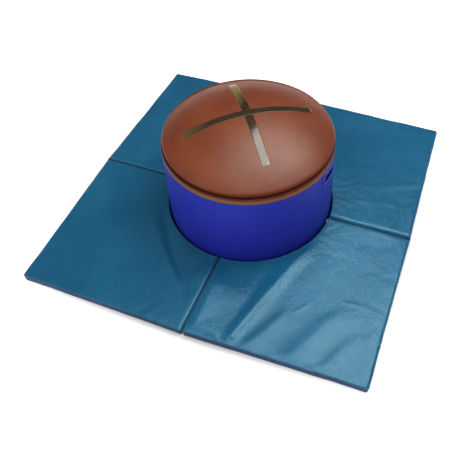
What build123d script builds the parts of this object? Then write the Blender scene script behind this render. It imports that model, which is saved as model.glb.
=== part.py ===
from build123d import *

import math
import os

# A padded mushroom trainer standing in the round opening of a square, four-panel landing mat.
# Millimetres, +Z up, origin on the floor at the centre of the opening.
# +X is right, -Y is front. The mat's seams lie on the X and Y axes.

# Landing mat: driving dimensions
MAT_HALF = 762.0  # half of the 60 inch side
MAT_THICK = 38.0  # 1 1/2 inch over the covers
OPENING_R = 386.0
SEAM_HALF = 2.0  # half of the gap between two neighbouring panels
OUTER_CORNER_R = 12.0
VINYL = 1.2
BASE_SHEET = 2.0
SEWING_GAP = 0.2  # free play between a cover and what it holds
UPPER_FOAM = 10.8

# Closures between the panels
TAPE_LENGTH = 340.0
TAPE_HEIGHT = 25.0
TAPE_THICK = 1.9
WEB_THICK = 1.6
WEB_TAIL = 4.0  # how far a hinge web stands out past the mat's side

# Mushroom trainer: driving dimensions
APEX_Z = 541.0
FOOT_HEIGHT = 6.0
DRUM_BASE_R = 382.0
DRUM_TOP_R = 374.0
DRUM_TOP_Z = 390.0
PLATE_THICK = 26.0
PLATE_EDGE_R = 3.0
GASKET_THICK = 2.0
GASKET_INNER_R = 250.0
ROLL_R = 13.0  # radius of the leather's rolled rim
ROLL_WIDEST_R = 367.5
ROLL_WIDEST_Z = 430.0
LEATHER = 1.2

# Timber inside the trainer
WALL_R = 361.0
WALL_THICK = 12.0
BASE_BOARD = 18.0
PAD_BOARD = 12.0
PAD_BOARD_R = 338.0
POST_SIDE = 45.0
POST_AT_R = 310.0
HEM_WIDTH = 34.0  # cover turned under a board and stapled

# Handholds: one slot on each side of the drum, a little round from the X axis
HANDHOLD_Z = 346.0
HANDHOLD_WIDTH = 96.0
HANDHOLD_HEIGHT = 44.0
HANDHOLD_TURN = -6.0
LINER_WALL = 5.0
LINER_LIP = 7.0
LINER_PROUD = 3.0
LINER_REACH = 5.0  # the rings that a liner is cut from stand this much past its lip

# Cross marked on the dome
STRIPE_WIDTH = 34.0
STRIPE_THICK = 0.5
STRIPE_END_R = 6.0
ACROSS_LENGTH = 560.0
ALONG_LENGTH = 536.0
ALONG_SHIFT = 2.0  # how far the second stripe's middle lies in front of the dome's top
CROSS_TURN = 36.8  # degrees that the cross stands turned from the seams

# Fasteners
PER_RING = 4  # posts, cap bolts and post screws each stand in fours
POST_TURN = 45.0  # degrees from the X axis to the first post
CAP_BOLT_R = 5.0
CAP_BOLT_AT_R = 200.0
BOLT_PLAY = 0.5
BOLT_HEAD_R = 9.8  # over the corners of the hexagon
BOLT_HEAD = 6.4
WASHER_R = 15.0
WASHER_THICK = 2.0
NUT_FLANGE_R = 13.0
NUT_FLANGE = 1.5
NUT_WALL = 1.5
NUT_PLAY = 0.1
NUT_RECESS_PLAY = 0.5
NUT_RECESS = 2.0
THREAD_PLAY = 0.05
SCREW_R = 2.5
SCREW_PLAY = 0.1
SCREW_LENGTH = 70.0
FOOT_COUNT = 6
FOOT_R = 30.0
FOOT_AT_R = 285.0
FOOT_EDGE_R = 1.5
FOOT_RECESS_R = 7.0
FOOT_RECESS = 3.0
FOOT_SCREW_HEAD_R = 6.0
FOOT_SCREW_HEAD = 2.0
HOLE_FLOOR = 3.0  # wood left above a foot screw's hole
FOOT_SCREW_END = 5.0  # how far below the base board's top a foot screw ends
BOLT_END = 1.0  # how far below the pad board's top a cap bolt ends

PANELS = {"left_back": (-1, 1), "left_front": (-1, -1), "right_back": (1, 1), "right_front": (1, -1)}


def save(shape, node):
    export_step(shape, f"parts/{node}.step")


def between(corner, opposite):
    """A box from one corner to the opposite corner."""
    size = [abs(b - a) for a, b in zip(corner, opposite)]
    centre = [(a + b) / 2 for a, b in zip(corner, opposite)]
    return Pos(*centre) * Box(*size)


def disc(radius, low, high):
    return Pos(0, 0, (low + high) / 2) * Cylinder(radius, high - low)


def countersink(shank, top):
    """The conical head of a flush screw, as high as the screw's radius, widening up to its top."""
    return Pos(0, 0, top - SCREW_R / 2) * Cone(shank, shank + SCREW_R, SCREW_R)


def around(solid, count, radius, start=0.0):
    """Copies of a solid, evenly spaced on a circle about Z."""
    turns = [start + 360.0 * i / count for i in range(count)]
    return [Rot(0, 0, turn) * Pos(radius, 0, 0) * solid for turn in turns]


def turned(*edges):
    """A closed outline in the XZ plane, turned about Z."""
    return revolve(make_face(list(edges)), Axis.Z)


def turned_polygon(*points):
    """A straight-sided ring: corners are (radius, height)."""
    return revolve(make_face(Polyline(*[(r, 0, z) for r, z in points], close=True)), Axis.Z)


# ---------------------------------------------------------------- landing mat


def panel_block(inset, low, high, side_x, side_y):
    """One quarter of the mat with every side moved inwards by inset, from height low to high."""
    near, far = SEAM_HALF + inset, MAT_HALF - inset
    block = between((near, near, low), (far, far, high))
    outer_edge = block.edges().filter_by(Axis.Z).sort_by(Axis.X)[-2:].sort_by(Axis.Y)[-1]
    block = fillet(outer_edge, OUTER_CORNER_R - inset)
    block -= disc(OPENING_R + inset, low - 1, high + 1)
    if side_x < 0:
        block = mirror(block, Plane.YZ)
    if side_y < 0:
        block = mirror(block, Plane.XZ)
    return block


def build_panel(name, side_x, side_y):
    """Vinyl cover in three pieces, round two bonded layers of foam."""
    cover_low = MAT_THICK - VINYL
    foam_split = cover_low - UPPER_FOAM
    inside = VINYL + SEWING_GAP

    def block(inset, low, high):
        return panel_block(inset, low, high, side_x, side_y)

    save(block(0, cover_low, MAT_THICK), f"{name}_top_cover")
    gusset = block(0, BASE_SHEET, cover_low) - block(VINYL, BASE_SHEET - 1, cover_low + 1)
    save(gusset, f"{name}_gusset")
    save(block(0, 0, BASE_SHEET), f"{name}_base_sheet")
    save(block(inside, foam_split, cover_low), f"{name}_foam_upper")
    save(block(inside, BASE_SHEET, foam_split), f"{name}_foam_lower")


def build_closures():
    """Sewn hinge webs on the left and right seams, hook and loop tape on the front and back seams."""
    for name, side in (("left", -1), ("right", 1)):
        inner_end, outer_end = side * OPENING_R, side * (MAT_HALF + WEB_TAIL)
        low, high = MAT_THICK - VINYL - WEB_THICK, MAT_THICK - VINYL
        web = between((inner_end, -SEAM_HALF, low), (outer_end, SEAM_HALF, high))
        save(web, f"{name}_hinge_web")

    middle_y = (OPENING_R + MAT_HALF) / 2
    middle_z = MAT_THICK / 2
    tape = Box(TAPE_THICK, TAPE_LENGTH, TAPE_HEIGHT)
    offset = SEAM_HALF - TAPE_THICK / 2
    for name, side in (("front", -1), ("back", 1)):
        save(Pos(-offset, side * middle_y, middle_z) * tape, f"{name}_hook_strip")
        save(Pos(offset, side * middle_y, middle_z) * tape, f"{name}_loop_strip")


# ------------------------------------------------------------ mushroom trainer

BASE_TOP = FOOT_HEIGHT + BASE_BOARD
PLATE_TOP = DRUM_TOP_Z + PLATE_THICK
PAD_LOW = PLATE_TOP + GASKET_THICK  # underside of the leather
BOARD_LOW = PAD_LOW + LEATHER
BOARD_TOP = BOARD_LOW + PAD_BOARD
COVER_LOW = FOOT_HEIGHT - VINYL


def drum_radius(height):
    """The drum's outside narrows evenly from its base to its top."""
    share = (height - COVER_LOW) / (DRUM_TOP_Z - COVER_LOW)
    return DRUM_BASE_R + (DRUM_TOP_R - DRUM_BASE_R) * share


def slot_bar(width, height):
    """A bar with round ends through both sides of the drum at the handholds."""
    face = Plane.YZ * SlotOverall(width, height)
    bar = extrude(face, amount=2 * DRUM_BASE_R, both=True)
    return Pos(0, 0, HANDHOLD_Z) * Rot(0, 0, HANDHOLD_TURN) * bar


LINER_OUTSIDE = slot_bar(HANDHOLD_WIDTH + 2 * LINER_WALL, HANDHOLD_HEIGHT + 2 * LINER_WALL)
CUT = slot_bar(
    HANDHOLD_WIDTH + 2 * (LINER_WALL + SEWING_GAP), HANDHOLD_HEIGHT + 2 * (LINER_WALL + SEWING_GAP)
)


def build_drum_shell():
    """Bent plywood wall, foam wrap and vinyl cover, each with the two handhold slots."""
    wall_top = DRUM_TOP_Z - VINYL
    inner = WALL_R - WALL_THICK
    wall = disc(WALL_R, BASE_TOP, wall_top) - disc(inner, BASE_TOP - 1, wall_top + 1)
    save(wall - CUT, "drum_wall")

    hug, inside = WALL_R + SEWING_GAP, VINYL + SEWING_GAP
    foam = turned_polygon(
        (hug, FOOT_HEIGHT),
        (drum_radius(FOOT_HEIGHT) - inside, FOOT_HEIGHT),
        (drum_radius(wall_top) - inside, wall_top),
        (hug, wall_top),
    )
    save(foam - CUT, "drum_foam")

    cover = turned_polygon(
        (WALL_R - HEM_WIDTH, COVER_LOW),
        (DRUM_BASE_R, COVER_LOW),
        (DRUM_TOP_R, DRUM_TOP_Z),
        (WALL_R - WALL_THICK, DRUM_TOP_Z),
        (WALL_R - WALL_THICK, wall_top),
        (drum_radius(wall_top) - VINYL, wall_top),
        (drum_radius(FOOT_HEIGHT) - VINYL, FOOT_HEIGHT),
        (WALL_R - HEM_WIDTH, FOOT_HEIGHT),
    )
    save(cover - CUT, "drum_cover")


def build_handholds():
    """A sleeve through the wall at each handhold, with a soft lip on the outside of the drum."""
    reach = HANDHOLD_HEIGHT / 2 + LINER_WALL + LINER_LIP + LINER_REACH
    low, high = HANDHOLD_Z - reach, HANDHOLD_Z + reach
    inner = WALL_R - WALL_THICK

    def shell(proud, back):
        return turned_polygon(
            (back, low),
            (drum_radius(low) + proud, low),
            (drum_radius(high) + proud, high),
            (back, high),
        )

    lip_ring = shell(LINER_PROUD, inner) - shell(SEWING_GAP, inner - 1)
    sleeve_ring = shell(LINER_PROUD, inner)
    margin = 2 * (LINER_WALL + LINER_LIP)
    lip = lip_ring & slot_bar(HANDHOLD_WIDTH + margin, HANDHOLD_HEIGHT + margin)
    sleeve = sleeve_ring & LINER_OUTSIDE
    both = (lip + sleeve) - slot_bar(HANDHOLD_WIDTH, HANDHOLD_HEIGHT)
    for name, side in (("left", -1), ("right", 1)):
        half = between((0, -DRUM_BASE_R, low - 1), (side * 2 * DRUM_BASE_R, DRUM_BASE_R, high + 1))
        save(both & half, f"{name}_handhold_liner")


def build_carcass():
    """Round base board, four posts and the thick round top plate whose edge shows under the cap."""
    cap_hole = disc(CAP_BOLT_R + BOLT_PLAY, DRUM_TOP_Z - 1, PLATE_TOP + 1)
    screw_hole = disc(SCREW_R + SCREW_PLAY, 0, PLATE_TOP + 1)
    sink = countersink(SCREW_R + SCREW_PLAY, PLATE_TOP)
    under_sink = mirror(countersink(SCREW_R + SCREW_PLAY, -FOOT_HEIGHT), Plane.XY)

    plate = disc(DRUM_TOP_R, DRUM_TOP_Z, PLATE_TOP)
    plate = fillet(plate.edges().filter_by(GeomType.CIRCLE).sort_by(Axis.Z)[-1], PLATE_EDGE_R)
    plate -= around(cap_hole, PER_RING, CAP_BOLT_AT_R)
    plate -= around(screw_hole, PER_RING, POST_AT_R, POST_TURN)
    plate -= around(sink, PER_RING, POST_AT_R, POST_TURN)
    save(plate, "top_plate")

    foot_hole = disc(SCREW_R, 0, BASE_TOP - HOLE_FLOOR)
    base = disc(WALL_R, FOOT_HEIGHT, BASE_TOP)
    base -= around(screw_hole, PER_RING, POST_AT_R, POST_TURN)
    base -= around(under_sink, PER_RING, POST_AT_R, POST_TURN)
    base -= around(foot_hole, FOOT_COUNT, FOOT_AT_R)
    save(base, "base_board")

    post = Pos(0, 0, (BASE_TOP + DRUM_TOP_Z) / 2) * Box(POST_SIDE, POST_SIDE, DRUM_TOP_Z - BASE_TOP)
    post -= screw_hole
    names = ("right_back", "left_back", "left_front", "right_front")
    for name, solid in zip(names, around(post, PER_RING, POST_AT_R, POST_TURN)):
        save(solid, f"post_{name}")


def dome_outline(skin):
    """Edges of the cap's section from the top centre to the underside of its rolled rim, and the
    rim's lowest point. The dome's arc and the rim's arc meet smoothly; skin is taken off both."""
    rim_r = ROLL_R - skin
    rim_at = (ROLL_WIDEST_R - ROLL_R, ROLL_WIDEST_Z)
    drop = APEX_Z - ROLL_WIDEST_Z
    full = (rim_at[0] ** 2 + drop**2 - ROLL_R**2) / (2 * (drop - ROLL_R))
    dome_r = full - skin
    lean = math.asin(rim_at[0] / (full - ROLL_R))
    centre_z = APEX_Z - full

    def on_dome(angle):
        return (dome_r * math.sin(angle), 0, centre_z + dome_r * math.cos(angle))

    def on_rim(angle):
        return (rim_at[0] + rim_r * math.sin(angle), 0, rim_at[1] + rim_r * math.cos(angle))

    foot = math.acos((PAD_LOW + skin - rim_at[1]) / rim_r)
    dome = ThreePointArc(on_dome(0), on_dome(lean / 2), on_dome(lean))
    rim = ThreePointArc(on_rim(lean), on_rim((lean + foot) / 2), on_rim(foot))
    return dome, rim, on_dome(0), on_rim(foot)


def build_cap():
    """Leather over foam on a round board, with a felt ring between the cap and the top plate."""
    dome, rim, top, foot = dome_outline(0)
    inner_dome, inner_rim, inner_top, inner_foot = dome_outline(LEATHER)
    hem = PAD_BOARD_R - HEM_WIDTH
    leather = turned(
        dome,
        rim,
        Polyline(foot, (hem, 0, PAD_LOW), (hem, 0, BOARD_LOW), inner_foot),
        inner_rim,
        inner_dome,
        Line(inner_top, top),
    )
    save(leather, "leather_cover")

    foam_dome, foam_rim, foam_top, foam_foot = dome_outline(LEATHER + SEWING_GAP)
    hug = PAD_BOARD_R + SEWING_GAP
    foam = turned(
        foam_dome,
        foam_rim,
        Polyline(foam_foot, (hug, 0, foam_foot[2]), (hug, 0, BOARD_TOP), (0, 0, BOARD_TOP), foam_top),
    )
    save(foam, "dome_foam")

    nut_hole = disc(CAP_BOLT_R + NUT_WALL + NUT_PLAY, BOARD_LOW - 1, BOARD_TOP + 1)
    nut_recess = disc(NUT_FLANGE_R + NUT_RECESS_PLAY, BOARD_TOP - NUT_RECESS, BOARD_TOP + 1)
    board = disc(PAD_BOARD_R, BOARD_LOW, BOARD_TOP)
    board -= around(nut_hole, PER_RING, CAP_BOLT_AT_R)
    board -= around(nut_recess, PER_RING, CAP_BOLT_AT_R)
    save(board, "pad_board")

    gasket = disc(ROLL_WIDEST_R - ROLL_R, PLATE_TOP, PAD_LOW) - disc(GASKET_INNER_R, 0, PAD_LOW + 1)
    save(gasket, "felt_gasket")


def build_cross():
    """Two bands laid over the dome, crossing at its top: one whole, the other in two lengths."""
    dome, rim, top, foot = dome_outline(0)
    raised, raised_rim, raised_top, raised_foot = dome_outline(-STRIPE_THICK)
    skin = turned(dome, rim, Polyline(foot, (0, 0, foot[2]), top))
    raised_skin = turned(raised, raised_rim, Polyline(raised_foot, (0, 0, raised_foot[2]), raised_top))
    layer = raised_skin - skin

    def bar(length, shift, turn):
        outline = RectangleRounded(length, STRIPE_WIDTH, STRIPE_END_R)
        upright = extrude(outline, amount=APEX_Z - ROLL_WIDEST_Z, both=True)
        return Rot(0, 0, turn) * Pos(-shift, 0, APEX_Z) * upright

    across = bar(ACROSS_LENGTH, 0, CROSS_TURN)
    along = bar(ALONG_LENGTH, ALONG_SHIFT, CROSS_TURN + 90)
    save(layer & across, "cross_stripe_across")
    save((layer & along) - across, "cross_stripe_along")


def build_fasteners():
    """Cap bolts with washers and T nuts, countersunk post screws, and rubber feet with their screws."""
    washer_low = DRUM_TOP_Z - WASHER_THICK
    head_low = washer_low - BOLT_HEAD
    bolt = disc(CAP_BOLT_R, head_low, BOARD_TOP - BOLT_END)
    bolt += Pos(0, 0, head_low) * extrude(RegularPolygon(BOLT_HEAD_R, 6), amount=BOLT_HEAD)
    save(Compound(around(bolt, PER_RING, CAP_BOLT_AT_R)), "cap_bolts")
    washer = disc(WASHER_R, washer_low, DRUM_TOP_Z) - disc(CAP_BOLT_R + BOLT_PLAY, 0, DRUM_TOP_Z)
    save(Compound(around(washer, PER_RING, CAP_BOLT_AT_R)), "cap_washers")
    nut_top = BOARD_TOP - NUT_PLAY
    nut = disc(NUT_FLANGE_R, nut_top - NUT_FLANGE, nut_top)
    nut += disc(CAP_BOLT_R + NUT_WALL, BOARD_LOW, nut_top)
    nut -= disc(CAP_BOLT_R + THREAD_PLAY, 0, BOARD_TOP + 1)
    save(Compound(around(nut, PER_RING, CAP_BOLT_AT_R)), "cap_t_nuts")

    top_screw = disc(SCREW_R, PLATE_TOP - SCREW_LENGTH, PLATE_TOP)
    top_screw += countersink(SCREW_R, PLATE_TOP)
    save(Compound(around(top_screw, PER_RING, POST_AT_R, POST_TURN)), "top_plate_screws")
    base_screw = disc(SCREW_R, FOOT_HEIGHT, FOOT_HEIGHT + SCREW_LENGTH)
    base_screw += mirror(countersink(SCREW_R, -FOOT_HEIGHT), Plane.XY)
    save(Compound(around(base_screw, PER_RING, POST_AT_R, POST_TURN)), "base_board_screws")

    foot = disc(FOOT_R, 0, FOOT_HEIGHT)
    foot = fillet(foot.edges().filter_by(GeomType.CIRCLE).sort_by(Axis.Z)[0], FOOT_EDGE_R)
    foot -= disc(FOOT_RECESS_R, -1, FOOT_RECESS) + disc(SCREW_R, 0, FOOT_HEIGHT + 1)
    save(Compound(around(foot, FOOT_COUNT, FOOT_AT_R)), "rubber_feet")
    foot_screw = disc(FOOT_SCREW_HEAD_R, FOOT_RECESS - FOOT_SCREW_HEAD, FOOT_RECESS)
    foot_screw += disc(SCREW_R - SCREW_PLAY, FOOT_RECESS - FOOT_SCREW_HEAD, BASE_TOP - FOOT_SCREW_END)
    save(Compound(around(foot_screw, FOOT_COUNT, FOOT_AT_R)), "foot_screws")


def main():
    os.makedirs("parts", exist_ok=True)
    for name, (side_x, side_y) in PANELS.items():
        build_panel(name, side_x, side_y)
    build_closures()
    build_drum_shell()
    build_handholds()
    build_carcass()
    build_cap()
    build_cross()
    build_fasteners()


main()
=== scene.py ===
import math
import random

import bmesh
import bpy
import numpy as np
from mathutils import Matrix, Vector, noise


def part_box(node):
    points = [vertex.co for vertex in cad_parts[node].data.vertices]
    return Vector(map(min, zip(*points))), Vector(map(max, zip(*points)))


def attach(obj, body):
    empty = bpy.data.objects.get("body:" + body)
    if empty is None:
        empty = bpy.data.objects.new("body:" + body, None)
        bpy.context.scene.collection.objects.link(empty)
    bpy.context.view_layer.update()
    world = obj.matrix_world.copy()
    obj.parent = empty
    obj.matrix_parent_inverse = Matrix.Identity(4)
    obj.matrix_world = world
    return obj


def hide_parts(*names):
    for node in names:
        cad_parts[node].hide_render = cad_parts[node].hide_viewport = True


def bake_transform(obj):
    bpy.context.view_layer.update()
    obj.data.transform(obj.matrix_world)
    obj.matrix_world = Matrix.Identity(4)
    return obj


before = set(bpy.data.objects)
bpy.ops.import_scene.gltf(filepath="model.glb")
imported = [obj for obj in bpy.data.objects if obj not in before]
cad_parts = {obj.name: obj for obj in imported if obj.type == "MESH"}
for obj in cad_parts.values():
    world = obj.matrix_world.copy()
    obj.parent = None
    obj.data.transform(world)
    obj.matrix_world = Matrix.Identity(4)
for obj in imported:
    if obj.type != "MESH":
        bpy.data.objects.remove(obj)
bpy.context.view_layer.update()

MM = 0.001
PANELS = {"left_back": (-1, 1), "left_front": (-1, -1), "right_back": (1, 1), "right_front": (1, -1)}

# ---- sizes from the frame
MAT_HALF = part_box("right_back_top_cover")[1].x
MAT_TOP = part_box("right_back_top_cover")[1].z
SEAM_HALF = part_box("right_back_top_cover")[0].x  # half the gap between two panels
BASE_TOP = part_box("right_back_base_sheet")[1].z
APEX_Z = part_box("leather_cover")[1].z
CAP_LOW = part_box("leather_cover")[0].z
CAP_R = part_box("leather_cover")[1].x
PLATE_LOW, PLATE_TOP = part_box("top_plate")[0].z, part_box("top_plate")[1].z
PLATE_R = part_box("top_plate")[1].x
DRUM_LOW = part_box("drum_cover")[0].z
DRUM_BASE_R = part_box("drum_cover")[1].x
BOARD_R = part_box("pad_board")[1].x
BOARD_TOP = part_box("pad_board")[1].z
OPENING_R = DRUM_BASE_R + 6.5 * MM  # the covers roll over this far from the drum

# ---- mesh helpers


def add_object(name, data):
    thing = bpy.data.objects.new(name, data)
    bpy.context.scene.collection.objects.link(thing)
    return thing


def new_object(name, vertices, faces, smooth=True):
    """An object with merged points and outward faces, in the scene's collection."""
    mesh = bpy.data.meshes.new(name)
    mesh.from_pydata([tuple(v) for v in vertices], [], faces)
    mesh.validate()
    tidy = bmesh.new()
    tidy.from_mesh(mesh)
    bmesh.ops.remove_doubles(tidy, verts=tidy.verts, dist=1e-6)
    bmesh.ops.recalc_face_normals(tidy, faces=tidy.faces)
    tidy.to_mesh(mesh)
    tidy.free()
    mesh.polygons.foreach_set("use_smooth", [smooth] * len(mesh.polygons))
    mesh.update()
    return add_object(name, mesh)


def grid_faces(rows, columns, wrap_rows=False, wrap_columns=False):
    """Quads over a grid of points stored row by row."""
    faces = []
    for i in range(rows if wrap_rows else rows - 1):
        for j in range(columns if wrap_columns else columns - 1):
            row, next_row = i * columns, (i + 1) % rows * columns
            next_j = (j + 1) % columns
            faces.append((row + j, row + next_j, next_row + next_j, next_row + j))
    return faces


def grid_object(name, grid, wrap_rows=False, wrap_columns=False):
    rows, columns = len(grid), len(grid[0])
    points = [p for row in grid for p in row]
    return new_object(name, points, grid_faces(rows, columns, wrap_rows, wrap_columns))


def apply_modifiers(piece):
    """Replaces a piece's mesh by what its modifiers make of it."""
    bpy.context.view_layer.update()
    solved = piece.evaluated_get(bpy.context.evaluated_depsgraph_get())
    mesh = bpy.data.meshes.new_from_object(solved)
    piece.modifiers.clear()
    piece.data = mesh
    return piece


def thicken(piece, thickness, offset=-1.0):
    """Gives a surface a thickness: all inward at offset -1, half to each side at 0."""
    shell = piece.modifiers.new("thickness", "SOLIDIFY")
    shell.thickness = thickness
    shell.offset = offset
    return apply_modifiers(piece)


def smooth_step(low, high, value):
    """0 up to low, 1 from high on, and a smooth rise between."""
    t = np.clip((value - low) / (high - low), 0.0, 1.0)
    return t * t * (3 - 2 * t)


def fractal(x, y, z, octaves):
    """Smooth noise about 0, with finer and finer detail in each octave."""
    return noise.fractal(Vector((x, y, z)), 0.9, 2.1, octaves, noise_basis="PERLIN_ORIGINAL")


# ---- material helpers


def connect(tree, value, socket):
    """Links a node's output to a socket, or gives the socket a plain value."""
    if isinstance(value, bpy.types.NodeSocket):
        tree.links.new(value, socket)
    else:
        socket.default_value = value


def add_node(tree, kind, **inputs):
    """A shader node with its inputs connected by name, an underscore standing for a space."""
    node = tree.nodes.new(f"ShaderNode{kind}")
    for name, value in inputs.items():
        connect(tree, value, node.inputs[name.replace("_", " ")])
    return node


def add_maths(tree, operation, first, second):
    node = add_node(tree, "Math")
    node.operation = operation
    connect(tree, first, node.inputs[0])
    connect(tree, second, node.inputs[1])
    return node.outputs[0]


class Surface:
    """A node material with a Principled shader and short calls for the nodes it needs. Places in a
    ramp run from 0 to 1."""

    def __init__(self, name, **sockets):
        self.material = bpy.data.materials.new(name)
        self.material.use_nodes = True
        self.tree = self.material.node_tree
        self.shader = self.tree.nodes["Principled BSDF"]
        for socket, value in sockets.items():
            self.shader.inputs[socket.replace("_", " ")].default_value = value
        self.place = self.node("TexCoord").outputs["Object"]

    def node(self, kind, **inputs):
        return add_node(self.tree, kind, **inputs)

    def scaled(self, scale, turn=(0, 0, 0)):
        """Object coordinates turned back by turn, then stretched by scale, for grain that runs one way."""
        shrink = [1 / factor for factor in scale]
        mapping = self.node("Mapping", Vector=self.place, Rotation=turn, Scale=shrink)
        mapping.vector_type = "TEXTURE"
        return mapping.outputs["Vector"]

    def noise(self, scale, detail=3.0, roughness=0.55, distortion=0.0, at=None):
        place = at or self.place
        look = {"Scale": scale, "Detail": detail, "Roughness": roughness, "Distortion": distortion}
        return self.node("TexNoise", Vector=place, **look).outputs["Fac"]

    def cells(self, scale, feature="SMOOTH_F1"):
        node = self.node("TexVoronoi", Vector=self.place, Scale=scale)
        node.feature = feature
        return node.outputs["Distance"]

    def waves(self, scale, direction="X", distortion=0.0, at=None):
        node = self.node("TexWave", Vector=at or self.place, Scale=scale, Distortion=distortion)
        node.bands_direction = direction
        return node.outputs["Fac"]

    def ramp(self, value, stops):
        """Colours (or greys) along a value: stops are (position, (r, g, b))."""
        node = self.node("ValToRGB", Fac=value)
        elements = node.color_ramp.elements
        while len(elements) < len(stops):
            elements.new(0.5)
        for element, (position, colour) in zip(elements, stops):
            element.position = position
            element.color = (*colour, 1.0)
        return node.outputs["Color"]

    def fade(self, value, start, end, last=1.0, first=0.0):
        """Grey from first, up to the place start, to last, from the place end on."""
        return self.ramp(value, [(start, grey(first)), (end, grey(last))])

    def mix(self, share, first, second):
        """The first colour where share is 0, the second where it is 1."""
        node = self.node("Mix")
        node.data_type = "RGBA"
        connect(self.tree, share, node.inputs[0])
        for socket, colour in ((6, first), (7, second)):
            colour = (*colour, 1.0) if isinstance(colour, tuple) else colour
            connect(self.tree, colour, node.inputs[socket])
        return node.outputs[2]

    def along(self, axis):
        """The object's own X, Y or Z, in metres; Z is the height above the floor."""
        return self.node("SeparateXYZ", Vector=self.place).outputs[axis]

    def colour(self, value):
        connect(self.tree, value, self.shader.inputs["Base Color"])

    def rough(self, value, low, high):
        node = self.node("MapRange", Value=value, To_Min=low, To_Max=high)
        connect(self.tree, node.outputs["Result"], self.shader.inputs["Roughness"])

    def bump(self, *layers):
        """Bump layers, each (height value, depth in metres), one on top of the other."""
        normal = None
        for value, depth in layers:
            node = self.node("Bump", Height=value, Distance=depth, Strength=1.0)
            if normal:
                connect(self.tree, normal, node.inputs["Normal"])
            normal = node.outputs["Normal"]
        connect(self.tree, normal, self.shader.inputs["Normal"])


def grey(value):
    return (value, value, value)


def shade(colour, factor):
    return tuple(part * factor for part in colour)


# ---- materials


def vinyl(name, dark, base, light, roughness=(0.15, 0.25), grain=1.0, gloss=0.5):
    """Coated polyester: pressed leather grain, slow tone changes, faint scuffs and a satin gloss."""
    s = Surface(name, Specular_IOR_Level=gloss, Specular_Tint=(0.48, 0.85, 1.0, 1.0))
    tone = s.ramp(s.noise(3.1, 4, 0.6, 0.4), [(0.3, dark), (0.52, base), (0.78, light)])
    stretched = s.scaled((1.0, 2.2, 1.0), (0.0, 0.0, 0.35))
    speck = s.fade(s.noise(95, 4, 0.75, 0.8, at=stretched), 0.34, 0.66, 0.55)
    mottled = s.mix(speck, tone, shade(dark, 0.6))
    scuff = s.fade(s.noise(38, 6, 0.72, 1.2), 0.6, 0.76, 0.14)
    s.colour(s.mix(scuff, mottled, light))
    s.rough(s.noise(60, 4, 0.65), *roughness)
    s.bump(
        (s.noise(26, 3, 0.6), 0.7 * MM * grain),
        (s.noise(110, 4, 0.7), 1.0 * MM * grain),
        (s.cells(210), 0.6 * MM * grain),
        (s.noise(400, 3, 0.65), 0.3 * MM * grain),
    )
    return s.material


def leather(name, gloss):
    """Smooth brown hide with pebbled grain and rubbed patches, darkened towards the rim as painted shade
    where it rolls under.
    """
    s = Surface(name, Specular_IOR_Level=gloss, Specular_Tint=(1.0, 0.97, 0.88, 1.0))
    tone = s.ramp(
        s.noise(4.2, 5, 0.6, 0.5),
        [(0.3, (0.108, 0.016, 0.004)), (0.5, (0.136, 0.025, 0.006)), (0.72, (0.166, 0.036, 0.008))],
    )
    rubbed = s.fade(s.noise(23, 6, 0.7, 1.0), 0.56, 0.78, 0.30)
    worn = s.mix(rubbed, tone, (0.185, 0.062, 0.030))
    # Painted shade: over its lowest 28 mm the colour darkens to a deep red-brown, where the hide rolls
    # under.
    rim_shade_steps = [(8 * MM, 0.90), (18 * MM, 0.35), (28 * MM, 0.0)]
    rim = s.ramp(s.along("Z"), [(CAP_LOW + rise, grey(share)) for rise, share in rim_shade_steps])
    s.colour(s.mix(rim, worn, (0.074, 0.018, 0.012)))
    s.rough(s.noise(30, 5, 0.6), 0.37, 0.47)
    s.bump((s.cells(420), 0.22 * MM), (s.noise(950, 3), 0.08 * MM), (s.noise(40, 3, 0.6), 0.35 * MM))
    return s.material


def marking_paint(name, turn, olive_to, dark_from, gloss, worn):
    """Glossy dark paint drawn on lengthwise with a dry brush. It is worn to olive up to the place
    x = olive_to and dark from x = dark_from on."""
    s = Surface(name, Specular_IOR_Level=gloss, Specular_Tint=(1.0, 0.90, 0.82, 1.0))
    streak = s.noise(14, 5, 0.7, 0.15, at=s.scaled((1.0, 22.0, 1.0), (0.0, 0.0, turn)))
    darks = [(0.36, (0.014, 0.007, 0.003)), (0.52, (0.029, 0.016, 0.007)), (0.72, (0.060, 0.035, 0.017))]
    olives = [(0.36, (0.074, 0.060, 0.021)), (0.56, (0.130, 0.106, 0.038)), (0.75, (0.185, 0.150, 0.058))]
    olive = s.ramp(streak, [(at, shade(tone, worn)) for at, tone in olives])
    start = 0.3  # a ramp has no places under 0, so x is counted from this far to the left
    place = add_maths(s.tree, "ADD", s.along("X"), start)
    wear = s.fade(place, start + olive_to, start + dark_from, 0.0, 1.0)
    s.colour(s.mix(wear, s.ramp(streak, darks), olive))
    s.rough(streak, 0.10, 0.22)
    s.bump((streak, 0.22 * MM), (s.noise(300, 3, 0.7), 0.05 * MM))
    return s.material


def plywood(name, light, dark, line, rough=0.55, overhang_shade_top=None):
    """Plywood whose plies show as bands at an edge, with face grain on the flat. It takes the colour line
    in its last 5 mm under the top height it is given, as painted shade under the overhang above it."""
    s = Surface(name, Roughness=rough, Specular_IOR_Level=0.15)
    grain = s.noise(30, 8, 0.7, 0.6, at=s.scaled((1.0, 14.0, 90.0)))
    plies = s.ramp(s.waves(56, "Z", 0.25), [(0.30, line), (0.42, dark), (0.62, light), (0.9, dark)])
    face = s.ramp(grain, [(0.32, dark), (0.55, light), (0.8, dark)])
    tone = s.mix(0.6, plies, face)
    # Painted shadow: a dark band just under the given height stands for the shade of the cap's overhang.
    if overhang_shade_top:
        top = s.fade(s.along("Z"), overhang_shade_top - 10 * MM, overhang_shade_top - 5 * MM)
        tone = s.mix(top, tone, line)
    s.colour(tone)
    s.rough(grain, rough - 0.08, rough + 0.12)
    s.bump((grain, 0.3 * MM))
    return s.material


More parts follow.
